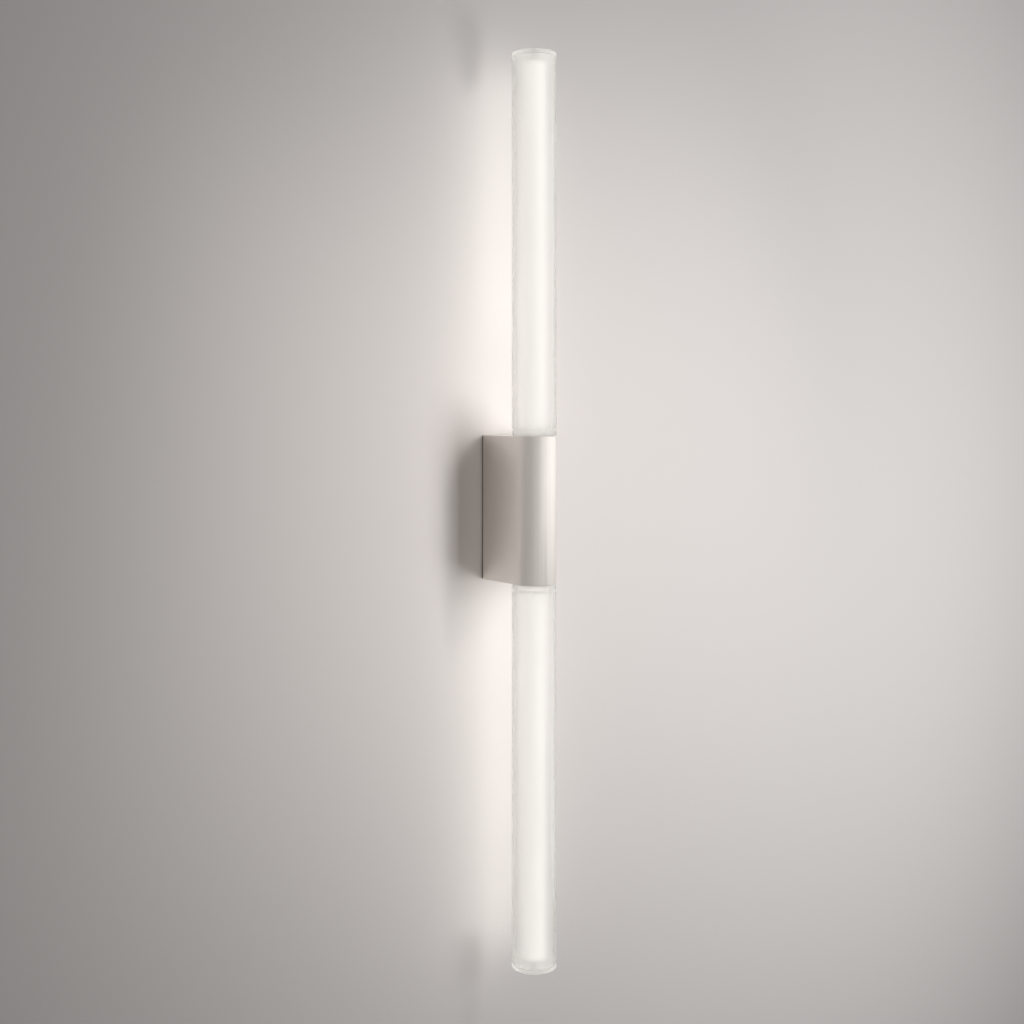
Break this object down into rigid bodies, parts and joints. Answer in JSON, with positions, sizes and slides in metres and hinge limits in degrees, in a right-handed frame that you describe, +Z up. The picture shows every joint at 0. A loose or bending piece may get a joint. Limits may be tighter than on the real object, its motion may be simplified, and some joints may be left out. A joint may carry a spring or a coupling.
{
  "type": "tube wall light",
  "caption": "Wall light with a slim glowing glass tube above and below a narrow half-round metal bracket, which pushes onto a wall plate and is locked by set screws.",
  "frame": {"origin": "on the wall, at the middle of the wall plate's two screw slots", "axes": "+X right as seen from the room, +Y into the wall, +Z up along the tubes"},
  "size_m": [0.042, 0.075, 0.855],
  "materials": {
    "satin_cover": "fine satin, warm nickel anodised",
    "glass_tube": "gloss outside, satin bore",
    "clear_acrylic": "satin, polished on the sawn rims",
    "opal_diffuser": "opal, satin",
    "white_moulding": "fine moulded satin",
    "light_strip": "matte board with a silicone line of light",
    "spine_aluminium": "mill finish",
    "zinc_steel": "zinc plated",
    "stainless": "bright stainless",
    "black_rubber": "matte",
    "black_foam": "closed-cell foam",
    "clear_silicone": "translucent, soft satin",
    "driver_case": "fine spark-eroded texture",
    "terminal_moulding": "natural nylon",
    "brown_wire": "satin insulation",
    "blue_wire": "satin insulation",
    "green_wire": "satin insulation with a yellow stripe",
    "red_wire": "satin insulation",
    "black_wire": "satin insulation",
    "tinned_brass": "tinned"
  },
  "bodies": {
    "wall_mount": {"wall_plate": "zinc_steel", "cable_grommet": "black_rubber"},
    "light": {"cover": "satin_cover", "wall_gasket": "black_foam", "upper_end_plate": "satin_cover", "lower_end_plate": "satin_cover", "locking_screws": "stainless", "end_plate_screws": "stainless", "socket_screws": "stainless", "end_cap_screws": "stainless", "spine_screws": "stainless", "tray_screws": "stainless", "driver_screws": "stainless", "terminal_screws": "stainless", "earth_screw": "stainless", "socket_seals": "clear_silicone", "tube_seals": "clear_silicone", "upper_tube_socket": "clear_acrylic", "lower_tube_socket": "clear_acrylic", "upper_tube": "glass_tube", "lower_tube": "glass_tube", "upper_end_cap": "clear_acrylic", "lower_end_cap": "clear_acrylic", "led_spine": "spine_aluminium", "upper_led_strips": "light_strip", "lower_led_strips": "light_strip", "upper_diffuser": "opal_diffuser", "lower_diffuser": "opal_diffuser", "upper_core_plug": "white_moulding", "lower_core_plug": "white_moulding", "gear_tray": "zinc_steel", "driver": "driver_case", "terminal_block": "terminal_moulding", "live_lead": "brown_wire", "neutral_lead": "blue_wire", "earth_lead": "green_wire", "earth_tag": "tinned_brass", "positive_light_leads": "red_wire", "negative_light_leads": "black_wire"}
  },
  "joints": [
    {"name": "light_off", "type": "slide", "parent": "wall_mount", "child": "light", "axis": [0, -1, 0], "range_m": [0, 0.06]}
  ]
}
